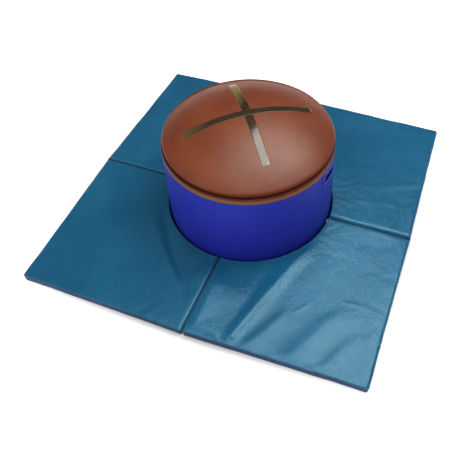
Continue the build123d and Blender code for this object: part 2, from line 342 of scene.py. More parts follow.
def pine():
    """Sawn softwood with its rings running up the post."""
    s = Surface("pine", Roughness=0.6)
    rings = s.waves(30, "X", 6.0, at=s.scaled((1.0, 1.0, 0.08)))
    grain = s.noise(60, 6, 0.6, 0.3, at=s.scaled((6.0, 6.0, 0.4)))
    tone = s.ramp(rings, [(0.1, (0.62, 0.42, 0.22)), (0.7, (0.74, 0.55, 0.32)), (1.0, (0.50, 0.30, 0.14))])
    s.colour(s.mix(s.fade(grain, 0.4, 0.8, 0.5), tone, (0.48, 0.30, 0.15)))
    s.bump((grain, 0.3 * MM))
    return s.material


def rebond():
    """Foam crumbs of several colours pressed into one block."""
    s = Surface("rebond_foam", Roughness=0.9)
    crumb = s.noise(120, 5, 0.8, 2.0)
    blue, cream, sand, red = (0.08, 0.20, 0.42), (0.70, 0.66, 0.52), (0.52, 0.5, 0.46), (0.55, 0.14, 0.12)
    s.colour(s.ramp(crumb, [(0.3, blue), (0.45, cream), (0.6, sand), (0.7, red)]))
    s.bump((crumb, 1.5 * MM))
    return s.material


def cloth_tape(name, base, light, scale):
    """Short dense pile of a hook or loop tape."""
    s = Surface(name, Roughness=0.85, Sheen_Weight=0.08)
    pile = s.cells(scale, "F1")
    s.colour(s.ramp(pile, [(0.0, light), (0.6, base)]))
    s.bump((pile, 0.6 * MM), (s.noise(scale, 4), 0.4 * MM))
    return s.material


def rubber():
    """Moulded black rubber with a dusty bloom."""
    s = Surface("black_rubber", Roughness=0.7)
    s.colour(s.fade(s.noise(90, 5, 0.7), 0.35, 0.75, 0.0304, 0.016))
    s.rough(s.noise(200, 3), 0.55, 0.8)
    s.bump((s.noise(900, 2), 0.1 * MM), (s.noise(60, 3), 0.3 * MM))
    return s.material


def zinc():
    """Zinc-plated steel with its faint spangle."""
    s = Surface("zinc_steel", Roughness=0.35, Metallic=1.0)
    s.colour(s.ramp(s.cells(160), [(0.2, (0.55, 0.56, 0.55)), (0.8, (0.75, 0.74, 0.68))]))
    s.rough(s.noise(120, 4), 0.25, 0.48)
    s.bump((s.noise(300, 3), 0.1 * MM))
    return s.material


def grip_sheet():
    """Non-slip underside: black vinyl with a raised close waffle."""
    s = Surface("grip_vinyl", Roughness=0.6)
    s.colour(s.ramp(s.noise(60, 4), [(0.35, (0.012, 0.013, 0.015)), (0.75, (0.030, 0.032, 0.036))]))
    waffle = add_maths(s.tree, "MULTIPLY", s.waves(55, "X"), s.waves(55, "Y"))
    s.bump((waffle, 0.8 * MM), (s.noise(700, 2), 0.1 * MM))
    return s.material


TEAL = vinyl("teal_vinyl", (0.0070, 0.081, 0.163), (0.0105, 0.105, 0.202), (0.0175, 0.132, 0.233))
NAVY = vinyl(
    "navy_vinyl", (0.006, 0.022, 0.072), (0.009, 0.031, 0.094), (0.018, 0.046, 0.120), (0.42, 0.55), 0.7, 0.2
)
BLUE = vinyl(
    "royal_blue_vinyl", (0.012, 0.014, 0.305), (0.017, 0.018, 0.35), (0.024, 0.026, 0.40),
    (0.42, 0.52), 0.35, 0.35
)
TRIM = vinyl(
    "royal_blue_trim", (0.017, 0.023, 0.29), (0.023, 0.033, 0.36), (0.036, 0.052, 0.44),
    (0.34, 0.46), 0.35, 0.4
)
# Near-black navy for the sleeves inside the hand slots: painted shade of the slots' insides.
SLOT_SHADE_LINING = vinyl(
    "hand_lining_painted_shade", (0.002, 0.003, 0.030), (0.003, 0.004, 0.045), (0.006, 0.008, 0.070), (0.6, 0.7), 0.3, 0.1
)
WEB = vinyl(
    "web_vinyl", (0.012, 0.040, 0.090), (0.017, 0.054, 0.115), (0.030, 0.080, 0.15), (0.34, 0.44), 0.5, 0.4
)
THREAD = vinyl("thread", (0.010, 0.040, 0.085), (0.013, 0.052, 0.105), (0.020, 0.075, 0.14), (0.5, 0.7), 0.3)
CROSS_TURN = math.radians(36.8)  # how far the cross is turned from the mat's sides
ACROSS_TURN, ALONG_TURN = CROSS_TURN, CROSS_TURN + math.pi / 2
PAINT_ACROSS = marking_paint("marking_paint_across", ACROSS_TURN, -0.225, -0.140, 0.7, 0.62)
PAINT_FRONT = marking_paint("marking_paint_front", ALONG_TURN, -0.150, -0.035, 0.9, 1.0)
PAINT_BACK = marking_paint("marking_paint_back", ALONG_TURN, -0.135, -0.035, 0.25, 1.55)
PLYWOOD = plywood("plywood", (0.56, 0.38, 0.20), (0.44, 0.28, 0.14), (0.26, 0.15, 0.07))
# Stained plywood for the top plate's edge: real stain, with painted shade of the cap's overhang in its top
# band.
STAINED_AND_SHADED = plywood(
    "stained_plywood", (0.275, 0.104, 0.022), (0.200, 0.072, 0.015), (0.070, 0.018, 0.010), 0.5, PLATE_TOP
)
PINE = pine()
REBOND = rebond()
HOOK = cloth_tape("hook_tape", (0.004, 0.010, 0.030), (0.014, 0.030, 0.070), 800)
LOOP = cloth_tape("loop_tape", (0.005, 0.014, 0.040), (0.018, 0.040, 0.090), 500)
# Dark red-brown felt for the gasket under the cap: painted shade of the groove beneath the leather's rim.
GROOVE_SHADE_FELT = cloth_tape("black_felt", (0.030, 0.010, 0.008), (0.060, 0.022, 0.018), 600)
RUBBER = rubber()
GRIP = grip_sheet()
ZINC = zinc()


def set_material(piece, material):
    piece.data.materials.clear()
    piece.data.materials.append(material)


def finish_piece(piece, material, body, replaces=()):
    """One material, the body the piece rides on and the CAD nodes it stands for."""
    set_material(piece, material)
    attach(piece, body)
    if replaces:
        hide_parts(*replaces)


# ---- landing mat
DISH = 2.2 * MM  # the middle of a used panel lies this much below its sewn edges
SEAM_SAG = 4.0 * MM  # and it hangs this much more away from the hinge seams
SAG_REACH, SAG_FADE = 280 * MM, 200 * MM  # how far the sag takes to come in from them and from other sides
SWELL, RIPPLE, EDGE_WAVE = 2.2 * MM, 0.6 * MM, 1.3 * MM  # broad, fine and edge unevenness of a used cover
SEAM_INSET = 2.2 * MM  # the covers pull in this much from their neighbours at the seams
FOLD_SEAM, BUTT_SEAM, SIDE_RIM, END_RIM, CUT_OUT = range(5)
ROLL = {FOLD_SEAM: 16 * MM, BUTT_SEAM: 12 * MM, SIDE_RIM: 14 * MM, END_RIM: 3 * MM, CUT_OUT: 7 * MM}
DROP = {FOLD_SEAM: 10 * MM, BUTT_SEAM: 7 * MM, SIDE_RIM: 7 * MM, END_RIM: 1.8 * MM, CUT_OUT: 4 * MM}
BOW = {"left": 17 * MM, "right": 5 * MM, "front": 13 * MM, "back": 13 * MM}
SIDE_WAVE = 1.6 * MM  # the mat's sides wander by this much
COVER_THICK = 1.2 * MM
HEM = 1.6 * MM  # a cover turns down this far over its side band
OUTER_CORNER, SEAM_CORNER = 12 * MM, 3 * MM
GRID_PITCH = 7.5 * MM
ROLL_STEPS = (0.0, 0.05, 0.19, 0.41, 0.69, 1.0, 1.6)  # places over a rolled side, in shares of its roll


def spaced(length, first_roll, last_roll, pitch, middle_roll=None):
    """Places along a side: close together where it rolls over at its ends, even between. With a
    middle_roll they are close together round its middle too, where it turns the mat's corner."""
    start = [step * first_roll for step in ROLL_STEPS]
    end = [length - step * last_roll for step in reversed(ROLL_STEPS)]
    if middle_roll is None:
        count = max(2, round((end[0] - start[-1]) / pitch))
        between = np.linspace(start[-1], end[0], count + 1)[1:-1]
        return np.array([*start, *between, *end])
    half = length / 2
    before = [half - step * middle_roll for step in reversed(ROLL_STEPS)]
    after = [half + step * middle_roll for step in ROLL_STEPS[1:]]
    count = max(2, round((before[0] - start[-1]) / pitch))
    first = np.linspace(start[-1], before[0], count + 1)[1:-1]
    second = np.linspace(after[-1], end[0], count + 1)[1:-1]
    return np.array([*start, *first, *before, *after, *second, *end])


def refilled(places, count):
    """The same places at both ends, and an even middle that brings them to count."""
    ends = len(ROLL_STEPS)
    middle = np.linspace(places[ends - 1], places[-ends], count - 2 * ends + 2)[1:-1]
    return np.concatenate([places[:ends], middle, places[-ends:]])


def panel_plan(pitch):
    """The plan of the quarter panel with positive x and y: a grid of points whose rows run from the
    round cut-out to the outer sides, first row along the fold seam, last row along the butted seam."""
    arc_start = math.asin((SEAM_HALF + SEAM_INSET) / OPENING_R)
    arc_length = OPENING_R * (math.pi / 2 - 2 * arc_start)
    side = MAT_HALF - SEAM_HALF - SEAM_INSET
    outer = spaced(2 * side, ROLL[FOLD_SEAM], ROLL[BUTT_SEAM], pitch, ROLL[SIDE_RIM])
    inner = refilled(spaced(arc_length, ROLL[FOLD_SEAM], ROLL[BUTT_SEAM], arc_length), len(outer))
    across = len(spaced(side, ROLL[CUT_OUT], ROLL[END_RIM], pitch))
    rows = []
    for a, b in zip(inner, outer):
        angle = arc_start + a / OPENING_R
        first = np.array([OPENING_R * math.cos(angle), OPENING_R * math.sin(angle)])
        if b <= side:
            last = np.array([MAT_HALF, SEAM_HALF + SEAM_INSET + b])
        else:
            last = np.array([MAT_HALF - (b - side), MAT_HALF])
        length = np.linalg.norm(last - first)
        rim_roll = ROLL[SIDE_RIM] if b <= side else ROLL[END_RIM]
        places = refilled(spaced(length, ROLL[CUT_OUT], rim_roll, length), across)
        rows.append([first + (last - first) * p / length for p in places])
    return np.array(rows)


def side_distances(x, y):
    """Distance in from each kind of side, for a place with positive x and y."""
    return {
        FOLD_SEAM: y - SEAM_HALF - SEAM_INSET,
        BUTT_SEAM: x - SEAM_HALF - SEAM_INSET,
        SIDE_RIM: MAT_HALF - x,
        END_RIM: MAT_HALF - y,
        CUT_OUT: np.hypot(x, y) - OPENING_R,
    }


def rounded_corner(x, y, corner, toward, radius):
    """Rounds a square corner of the plan: the last square of that radius becomes a quarter disc."""
    centre_x, centre_y = corner[0] - toward[0] * radius, corner[1] - toward[1] * radius
    u, v = (x - centre_x) * toward[0] / radius, (y - centre_y) * toward[1] / radius
    inside = (u > 0) & (v > 0)
    scale = np.maximum(u, v) / np.maximum(np.hypot(u, v), 1e-9)
    x = np.where(inside, centre_x + toward[0] * radius * u * scale, x)
    y = np.where(inside, centre_y + toward[1] * radius * v * scale, y)
    return x, y


def bowed(x, y, name):
    """The mat's sides stand out a little where two panels meet, and are never quite straight."""
    side_x = "left" if x < 0 else "right"
    side_y = "front" if y < 0 else "back"
    out_x = BOW[side_x] * max(0.0, 1 - abs(y) / MAT_HALF) ** 1.3 * (abs(x) / MAT_HALF) ** 3
    out_y = BOW[side_y] * max(0.0, 1 - abs(x) / MAT_HALF) ** 1.3 * (abs(y) / MAT_HALF) ** 3
    wave = SIDE_WAVE * fractal(x * 7, y * 7, len(name), 3) * (max(abs(x), abs(y)) / MAT_HALF) ** 4
    x += math.copysign(out_x + wave, x)
    y += math.copysign(out_y + wave, y)
    return x, y


# Folds in each panel's cover, in mm: start, middle and end of a crest (or of a valley, where the height
# is negative), how far it reaches on its left and on its right as seen from its start, the share of
# that reach left at its end, and its height.
FOLDS = {
    "right_front": [
        ((375, -145), (278, -440), (184, -775), 38, 58, 0.55, 10),
        ((270, -260), (212, -500), (160, -740), 34, 34, 0.6, -1.6),
        ((390, -480), (318, -650), (246, -770), 50, 26, 0.9, 4.5),
        ((625, -400), (505, -610), (436, -770), 62, 40, 1.2, 6.5),
        ((690, -530), (608, -678), (568, -770), 44, 28, 1.1, 4.2),
        ((215, -340), (180, -460), (164, -620), 30, 50, 0.9, 1.2),
        ((14, -390), (12, -600), (14, -760), 165, 60, 1, 9.5),
        ((386, -552), (412, -520), (436, -486), 7, 6, 1, 1.4),
        ((548, -436), (600, -424), (655, -424), 7, 6, 1, 1.3),
        ((96, -768), (129, -742), (162, -768), 8, 8, 1, 3),
        ((484, -766), (525, -744), (570, -760), 8, 8, 1, 3),
    ],
    "left_front": [
        ((-415, -140), (-276, -335), (-80, -570), 50, 26, 1, -8),
        ((-430, -210), (-310, -370), (-150, -530), 24, 50, 1, 4),
        ((-520, -200), (-500, -330), (-470, -420), 40, 40, 1, 1),
    ],
    "left_back": [
        ((-775, 215), (-640, 275), (-455, 330), 12, 20, 1, 2.4),
        ((-770, 125), (-600, 180), (-430, 205), 10, 16, 1, 2.2),
        ((-765, 50), (-600, 90), (-480, 105), 8, 14, 1, 1.6),
        ((-770, 340), (-660, 400), (-520, 450), 20, 34, 1, 3.2),
        ((-220, 420), (-190, 530), (-180, 680), 26, 26, 1, 1.4),
    ],
    "right_back": [
        ((420, 120), (550, 160), (680, 170), 22, 22, 1, 0.6),
        ((440, 240), (580, 280), (720, 330), 26, 26, 1, 0.6),
        ((250, 420), (270, 540), (300, 690), 26, 26, 1, 1.4),
    ],
}


FOLD_END = 60 * MM  # a fold fades out over this much past its ends


def fold_height(name, x, y):
    """Height of a panel's folds at signed places. Each fold runs along a parabola through its three
    places, rises over its first part and ends a little lower at the panel's side."""
    total = np.zeros_like(x)
    steps = 40
    for start, middle, end, left, right, taper, height in FOLDS[name]:
        start, middle, end = np.array([start, middle, end]) * MM
        t = np.linspace(0, 1, steps)[:, None]
        bend = 2 * middle - (start + end) / 2
        line = (1 - t) ** 2 * start + 2 * t * (1 - t) * bend + t**2 * end
        ahead = np.gradient(line, axis=0)
        ahead /= np.linalg.norm(ahead, axis=1)[:, None]
        away = np.stack([x, y], axis=-1)[..., None, :] - line
        nearest = np.argmin((away**2).sum(-1), axis=-1)
        gap = np.take_along_axis(away, nearest[..., None, None], axis=-2)[..., 0, :]
        heading = ahead[nearest]
        across = heading[..., 0] * gap[..., 1] - heading[..., 1] * gap[..., 0]
        beyond = np.abs(heading[..., 0] * gap[..., 0] + heading[..., 1] * gap[..., 1])
        share = nearest / (steps - 1)
        width = np.where(across > 0, left, right) * MM * (1 + (taper - 1) * share)
        profile = np.exp(-((np.abs(across) / width) ** 1.7)) * np.exp(-((beyond / FOLD_END) ** 2))
        fade = smooth_step(0.0, 0.35, share) * (1 - 0.4 * smooth_step(0.85, 1.0, share))
        total += height * MM * profile * fade
    return total


def fractal_map(x, y, scale, seed, octaves):
    """The same noise over arrays of places."""
    values = [fractal(a * scale, b * scale, seed, octaves) for a, b in zip(x.ravel(), y.ravel())]
    return np.array(values).reshape(x.shape)


SLACK = 0.0008  # the covers are this share longer than the foam under them
FOAM_HOLD = 0.2  # how firmly the foam keeps a cover in place, 1 at a seam
MOST_MOVE = 1.2 * MM  # no point settles by more than this, in any direction
SETTLING_FRAMES = 20


def filled_in(values, places, count):
    """Values known at some places of the first axis, interpolated at all of its count places."""
    columns = values.reshape(len(places), -1).T
    full = np.stack([np.interp(range(count), places, column) for column in columns], axis=-1)
    return full.reshape(count, *values.shape[1:])


def settled(name, points):
    """Cloth simulation of a cover: a coarse copy of the grid, slack over its foam and held at its
    seams, is let go. Gives how far every point of the full grid moves."""
    rows, columns = points.shape[:2]
    keep_rows = np.unique([*range(0, rows, 2), rows - 1])
    keep_columns = np.unique([*range(0, columns, 2), columns - 1])
    coarse = points[np.ix_(keep_rows, keep_columns)]
    count_r, count_c = coarse.shape[:2]
    mesh = bpy.data.meshes.new(f"{name}_settling")
    mesh.from_pydata(coarse.reshape(-1, 3).tolist(), [], grid_faces(count_r, count_c))
    sheet = add_object(f"{name}_settling", mesh)
    held = sheet.vertex_groups.new(name="held")
    for i in range(count_r):
        for j in range(count_c):
            seam = i in (0, count_r - 1) or j in (0, count_c - 1)
            held.add([i * count_c + j], 1.0 if seam else FOAM_HOLD, "REPLACE")
    cloth = sheet.modifiers.new("cloth", "CLOTH")
    cloth.settings.quality = 4
    cloth.settings.mass = 0.3
    cloth.settings.air_damping = 3.0
    cloth.settings.tension_stiffness = cloth.settings.compression_stiffness = 15
    cloth.settings.shear_stiffness = 5
    cloth.settings.bending_stiffness = 2.0
    cloth.settings.vertex_group_mass = "held"
    cloth.settings.shrink_min = -SLACK
    cloth.settings.effector_weights.gravity = 0.0
    cloth.point_cache.frame_start, cloth.point_cache.frame_end = 1, SETTLING_FRAMES
    for frame_number in range(1, SETTLING_FRAMES + 1):
        bpy.context.scene.frame_set(frame_number)
    apply_modifiers(sheet)
    after = np.array([v.co for v in sheet.data.vertices]).reshape(coarse.shape)
    bpy.data.objects.remove(sheet)
    bpy.context.scene.frame_set(1)
    move = np.clip(after - coarse, -MOST_MOVE, MOST_MOVE)
    by_columns = filled_in(move.transpose(1, 0, 2), keep_columns, columns)
    return filled_in(by_columns.transpose(1, 0, 2), keep_rows, rows)


def cover_height(name, x, y):
    """Height of a top cover at signed places x and y: rolled down at its sides, dished, uneven and
    folded between them. Near a corner the drops of both sides are blended."""
    gaps = side_distances(np.abs(x), np.abs(y))
    shares = {kind: np.clip(gap / ROLL[kind], 0, None) for kind, gap in gaps.items()}
    nearest = np.minimum.reduce(list(shares.values()))
    weights = {kind: 1 / (share + 0.05) ** 3 for kind, share in shares.items()}
    drop = sum(DROP[kind] * weight for kind, weight in weights.items()) / sum(weights.values())
    rolled = 1 - np.sqrt(np.clip(1 - (1 - np.clip(nearest, 0, 1)) ** 2, 0, 1))
    inward = np.minimum.reduce(list(gaps.values()))
    seed = len(name) * 1.7
    slow = fractal_map(x, y, 3, seed, 2)
    ripple = fractal_map(x, y, 11, seed + 5, 3)
    edge_wave = fractal_map(x, y, 9, seed + 9, 2)
    inside = smooth_step(0.0, 0.04, inward)
    dish = -DISH * smooth_step(0.012, 0.11, inward)
    others = np.minimum.reduce([gap for kind, gap in gaps.items() if kind != FOLD_SEAM])
    dish -= SEAM_SAG * smooth_step(0.0, SAG_REACH, gaps[FOLD_SEAM]) * smooth_step(0.0, SAG_FADE, others)
    height = dish + inside * (SWELL * slow + RIPPLE * ripple)
    height += (0.4 + 0.6 * inside) * fold_height(name, x, y)
    return MAT_TOP - COVER_THICK / 2 + height - rolled * drop + EDGE_WAVE * edge_wave * (1 - inside)


def build_panel(name, side_x, side_y):
    """One panel: its padded cover, settled over the foam, and the pieces that hang on its outline."""
    plan = panel_plan(GRID_PITCH)
    x, y = plan[:, :, 0].copy(), plan[:, :, 1].copy()
    height = cover_height(name, x * side_x, y * side_y)
    near_seam = SEAM_HALF + SEAM_INSET
    x, y = rounded_corner(x, y, (MAT_HALF, MAT_HALF), (1, 1), OUTER_CORNER)
    x, y = rounded_corner(x, y, (MAT_HALF, near_seam), (1, -1), SEAM_CORNER)
    x, y = rounded_corner(x, y, (near_seam, MAT_HALF), (-1, 1), SEAM_CORNER)
    signed = np.array([bowed(a * side_x, b * side_y, name) for a, b in zip(x.ravel(), y.ravel())])
    top = np.concatenate([signed, height.reshape(-1, 1)], axis=1)
    rows, columns = x.shape
    top += settled(name, top.reshape(rows, columns, 3)).reshape(-1, 3)
    faces = grid_faces(rows, columns)
    index = np.arange(rows * columns).reshape(rows, columns)
    rim = np.concatenate([index[0], index[1:, -1], index[-1, -2::-1], index[-2:0:-1, 0]]).tolist()
    outline = top[rim]
    skirt = outline - np.array([0, 0, HEM])
    base, count = len(top), len(rim)
    for k in range(count):
        n = (k + 1) % count
        faces.append((rim[k], rim[n], base + n, base + k))
    cover = new_object(f"{name}_cover", np.concatenate([top, skirt]), faces)
    thicken(cover, COVER_THICK)
    finish_piece(
        cover, TEAL, name, (f"{name}_top_cover", f"{name}_foam_upper", f"{name}_foam_lower")
    )
    skirt[:, 2] += HEM / 2
    normals = outward_normals(skirt)
    for build in (build_side_band, build_welt, build_stitches):
        build(name, skirt, normals)


def outward_normals(outline):
    """Level directions out of a closed outline at each of its points."""
    ahead = np.roll(outline, -1, axis=0) - np.roll(outline, 1, axis=0)
    normals = np.stack([ahead[:, 1], -ahead[:, 0]], axis=1)
    normals /= np.maximum(np.linalg.norm(normals, axis=1), 1e-9)[:, None]
    ahead_x, ahead_y = np.roll(outline[:, 0], -1), np.roll(outline[:, 1], -1)
    area = np.sum(outline[:, 0] * ahead_y - ahead_x * outline[:, 1])
    return normals if area > 0 else -normals


BASE_INSET = 0.9 * MM  # the base sheet ends this far inside the side band's line


def build_side_band(name, outline, normals):
    """The navy side band: a tall strip round the whole panel, a little bellied, tucked in at the bottom."""
    # How far out in mm, and at what share of its height.
    profile = [(-0.4, 1.0), (0.4, 0.93), (0.9, 0.75), (0.9, 0.45), (0.4, 0.16), (-0.8, 0.0)]
    rings = []
    for belly, share in profile:
        ring = []
        for (x, y, top), normal in zip(outline, normals):
            pucker = 0.35 * fractal(x * 26, y * 26, share * 2.5, 2)
            out = (belly + pucker) * MM
            ring.append((x + normal[0] * out, y + normal[1] * out, BASE_TOP + (top - BASE_TOP) * share))
        rings.append(ring)
    band = grid_object(f"{name}_side_band", rings, wrap_columns=True)
    thicken(band, COVER_THICK)
    finish_piece(band, NAVY, name, (f"{name}_gusset",))
    build_base_sheet(name, outline[:, :2] - BASE_INSET * normals)


def build_base_sheet(name, outline):
    """The non-slip sheet under a panel."""
    count = len(outline)
    points = [(x, y, z) for z in (0.0, BASE_TOP) for x, y in outline]
    faces = grid_faces(2, count, wrap_columns=True) + [range(count), range(count, 2 * count)]
    sheet = new_object(f"{name}_grip_sheet", points, faces, smooth=False)
    finish_piece(sheet, GRIP, name, (f"{name}_base_sheet",))


# The welt's radius, and how far out and up its centre lies from the outline. At the opening it is
# thicker and lies up on the cover's roll.
WELT_AT_SIDES = (1.5 * MM, 0.2 * MM, 0.6 * MM)
WELT_AT_OPENING = (2.1 * MM, -3.0 * MM, 4.2 * MM)
WELT_SIDES = 8


def build_welt(name, outline, normals):
    """The sewn join of cover and side band: a thin raised bead of the cover's vinyl."""
    rings = []
    for k in range(WELT_SIDES):
        turn = 2 * math.pi * k / WELT_SIDES
        ring = []
        for (x, y, z), normal in zip(outline, normals):
            at_opening = math.hypot(x, y) < OPENING_R + 2 * MM
            radius, away, up = WELT_AT_OPENING if at_opening else WELT_AT_SIDES
            out = away + radius * math.cos(turn)
            ring.append((x + normal[0] * out, y + normal[1] * out, z + up + radius * math.sin(turn)))
        rings.append(ring)
    welt = grid_object(f"{name}_welt", rings, wrap_rows=True, wrap_columns=True)
    finish_piece(welt, TEAL, name)


STITCH_PITCH, STITCH_BELOW = 5.0 * MM, 2.6 * MM  # along the band, and below its top edge
# The places of one stitch: along it in shares of the pitch, how far it stands out, half its width.
STITCH = ((-0.29, 0.35 * MM, 0.15 * MM), (0.0, 0.75 * MM, 0.35 * MM), (0.29, 0.35 * MM, 0.15 * MM))


def build_stitches(name, outline, normals):
    """A row of thread stitches on the side band, just under the welt."""
    steps = np.linalg.norm(np.roll(outline, -1, axis=0) - outline, axis=1)
    reach = np.concatenate([[0], np.cumsum(steps)])
    closed = np.concatenate([outline, outline[:1]])
    closed_normals = np.concatenate([normals, normals[:1]])
    vertices, faces = [], []
    for k in range(int(reach[-1] / STITCH_PITCH)):
        start = len(vertices)
        for share, out, half in STITCH:
            at = (k + 0.5 + share) * STITCH_PITCH
            x, y, z = (np.interp(at, reach, closed[:, axis]) for axis in range(3))
            out_x, out_y = (out * np.interp(at, reach, closed_normals[:, axis]) for axis in range(2))
            for edge in (-half, half):
                vertices.append((x + out_x, y + out_y, z - STITCH_BELOW + edge))
        faces += [(start, start + 2, start + 3, start + 1), (start + 2, start + 4, start + 5, start + 3)]
    thread = new_object(f"{name}_stitches", vertices, faces)
    thicken(thread, 0.5 * MM, 0.0)
    finish_piece(thread, THREAD, name)


WEB_TAIL = 4 * MM  # a web stands out of the mat's side this much


def build_webs():
    """Sewn hinge webs: a strip of vinyl in the left and right seams, with a fold standing in its middle."""
    # Across the seam and height, in mm, from the foam up to the top of the fold.
    profile = [(-4.0, 19.0), (-3.6, 24.0), (-2.4, 26.5), (-1.5, 30.0), (-0.8, 32.4), (0.0, 33.2)]
    profile += [(-across, height) for across, height in reversed(profile[:-1])]
    cut_width = sum(math.dist(a, b) for a, b in zip(profile, profile[1:]))
    for name, side in (("left", -1), ("right", 1)):
        rows = []
        for reach in np.linspace(OPENING_R + 2 * MM, MAT_HALF + WEB_TAIL, 110):
            x = side * (reach + BOW[name] * (reach / MAT_HALF) ** 3 * 0.97)
            sway = 0.9 * MM * fractal(reach * 14, side, 1.3, 2)
            swell = 0.8 * MM * fractal(reach * 22, side, 4.3, 2)
            rows.append([(x, across * MM + sway, height * MM + swell) for across, height in profile])
        web = grid_object(f"{name}_web", rows)
        thicken(web, 0.8 * MM, 0.0)
        set_material(web, WEB)
        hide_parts(f"{name}_hinge_web")
        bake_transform(web)


def build_tapes():
    """Hook and loop tapes on the faces of the front and back seams, with sewn edges and a rough pile."""
    rng = random.Random(5)
    across = 14  # points across a tape, the outer ones on its thin sewn edges
    for end in ("front", "back"):
        for kind, side, material in (("hook", "left", HOOK), ("loop", "right", LOOP)):
            node = f"{end}_{kind}_strip"
            low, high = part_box(node)
            face = high.x if kind == "hook" else low.x
            back = low.x if kind == "hook" else high.x
            rows = []
            for y in np.linspace(low.y, high.y, 120):
                row = []
                for share in np.linspace(0, 1, across):
                    depth = 1.0 if min(share, 1 - share) * across >= 1 else 0.55
                    lift = (face - back) * (depth - 0.12 * rng.random())
                    row.append((back + lift, y, low.z + (high.z - low.z) * share))
                rows.append(row)
            tape = grid_object(f"{end}_{kind}_tape", rows)
            thicken(tape, 0.8 * MM, 1.0 if kind == "hook" else -1.0)
            finish_piece(tape, material, f"{side}_{end}", (node,))


# ---- mushroom trainer


ROLL_R = 13 * MM  # the leather's rolled rim
WIDEST_Z = CAP_LOW + 12 * MM
RIM_AT = CAP_R - ROLL_R
# The dome is the sphere that touches the rim's roll and passes through the apex.
DOME_R = (RIM_AT**2 + (APEX_Z - WIDEST_Z) ** 2 - ROLL_R**2) / (2 * (APEX_Z - WIDEST_Z - ROLL_R))
HIDE_THICK = 1.2 * MM
HIDE_SWELL, HIDE_DIMPLE = 1.0 * MM, 0.5 * MM
PLEAT, PLEATS = 0.55 * MM, 96
HEM_WIDTH = 34 * MM  # the hide reaches this far in under the pad board
# The hide is worn smooth on top and duller where it rolls under: its gloss from top to rim, the
# height of the dullest part and of the band above it, and what each gains at the back of the dome.
LEATHER_GLOSS = (0.47, 0.43, 0.38, 0.32, 0.26, 0.2, 0.14, 0.08, 0.03, 0.0)
DULLEST_BELOW, DULL_BAND = CAP_LOW + 13 * MM, 14 * MM
DULLEST_AT_BACK, DULL_AT_BACK = 45 * MM, 90 * MM
BACK_OF_DOME = Vector((-0.40, 0.85))  # the direction that counts as the back


def dome_height(radius):
    return APEX_Z - DOME_R + math.sqrt(DOME_R**2 - radius**2)


def dome_profile(skin=0.0, arc_steps=48, rim_steps=22):
    """(radius, height) from the top centre over the dome and round the rolled rim."""
    lean = math.asin(RIM_AT / (DOME_R - ROLL_R))
    foot = math.acos((CAP_LOW + skin - WIDEST_Z) / (ROLL_R - skin))
    arc = [(0.0, APEX_Z - DOME_R, DOME_R - skin, lean * (k / arc_steps) ** 0.9) for k in range(arc_steps)]
    turns = [lean + (foot - lean) * k / rim_steps for k in range(rim_steps + 1)]
    arc += [(RIM_AT, WIDEST_Z, ROLL_R - skin, turn) for turn in turns]
    return [(x + r * math.sin(a), z + r * math.cos(a)) for x, z, r, a in arc]


def turned_object(name, profile, segments, shift=None):
    """A profile of (radius, height) turned about Z. shift(angle, radius, height) gives small changes."""
    rings = []
    for radius, height in profile:
        ring = []
        for k in range(segments):
            angle = 2 * math.pi * k / segments
            r, z = radius, height
            if shift:
                r, z = shift(angle, radius, height)
            ring.append((r * math.cos(angle), r * math.sin(angle), z))
        rings.append(ring)
    return grid_object(name, rings, wrap_columns=True)


def leather_shift(angle, radius, height):
    """Hide drawn over foam: nearly true on the dome, gathered in small pleats where it turns under."""
    x, y = math.cos(angle), math.sin(angle)
    outer = float(smooth_step(0.20, 0.34, radius))
    under = float(smooth_step(WIDEST_Z, CAP_LOW, height)) if radius > RIM_AT - 12 * MM else 0.0
    slow = HIDE_SWELL * fractal(x * radius * 7, y * radius * 7, 3.0, 3)
    dimple = HIDE_DIMPLE * outer * (1 - under) * fractal(x * 7, y * 7, 5.0, 3)
    pleat = PLEAT * under * math.sin(angle * PLEATS + 3 * fractal(x * 6, y * 6, 1.0, 2))
    return radius + dimple + pleat, height + slow * (1 - under) - dimple


def build_cap():
    """The leather cover, turned in under the pad board, and the foam pad that fills it."""
    profile = dome_profile()
    foot_r, foot_z = profile[-1]
    hem = BOARD_R - HEM_WIDTH
    profile += [(foot_r + (hem - foot_r) * k / 8, foot_z) for k in range(1, 9)]
    cover = turned_object("leather_top", profile, 4 * PLEATS, leather_shift)
    thicken(cover, HIDE_THICK)
    hides = [leather(f"brown_leather_{k}", gloss) for k, gloss in enumerate(LEATHER_GLOSS)]
    finish_piece(cover, hides[0], "mushroom", ("leather_cover",))
    for duller in hides[1:]:
        cover.data.materials.append(duller)
    for face in cover.data.polygons:
        backward = max(0.0, face.center.xy.dot(BACK_OF_DOME)) / CAP_R
        rise = face.center.z - DULLEST_BELOW - DULLEST_AT_BACK * backward**2
        share = 1 - rise / (DULL_BAND + DULL_AT_BACK * backward**2)
        face.material_index = round((len(hides) - 1) * min(1.0, max(0.0, share)))
    inside = dome_profile(HIDE_THICK + 1.0 * MM, 30, 12)
    foot_r, foot_z = inside[-1]
    hug, top = BOARD_R + 0.4 * MM, BOARD_TOP + 0.2 * MM  # just clear of the pad board
    inside += [(hug, foot_z), (hug, top), (0.0, top)]
    pad = turned_object("dome_pad", inside, 96)
    finish_piece(pad, REBOND, "mushroom", ("dome_foam",))


STRIPE_HALF = 17 * MM
STRIPE_END = 6 * MM  # its ends are rounded over this much
STRIPE_REACH, BACK_REACH = 270 * MM, 266 * MM  # of the stripe that runs from front to back
PAINT_THICK, PAINT_PROUD = 0.35 * MM, 0.42 * MM


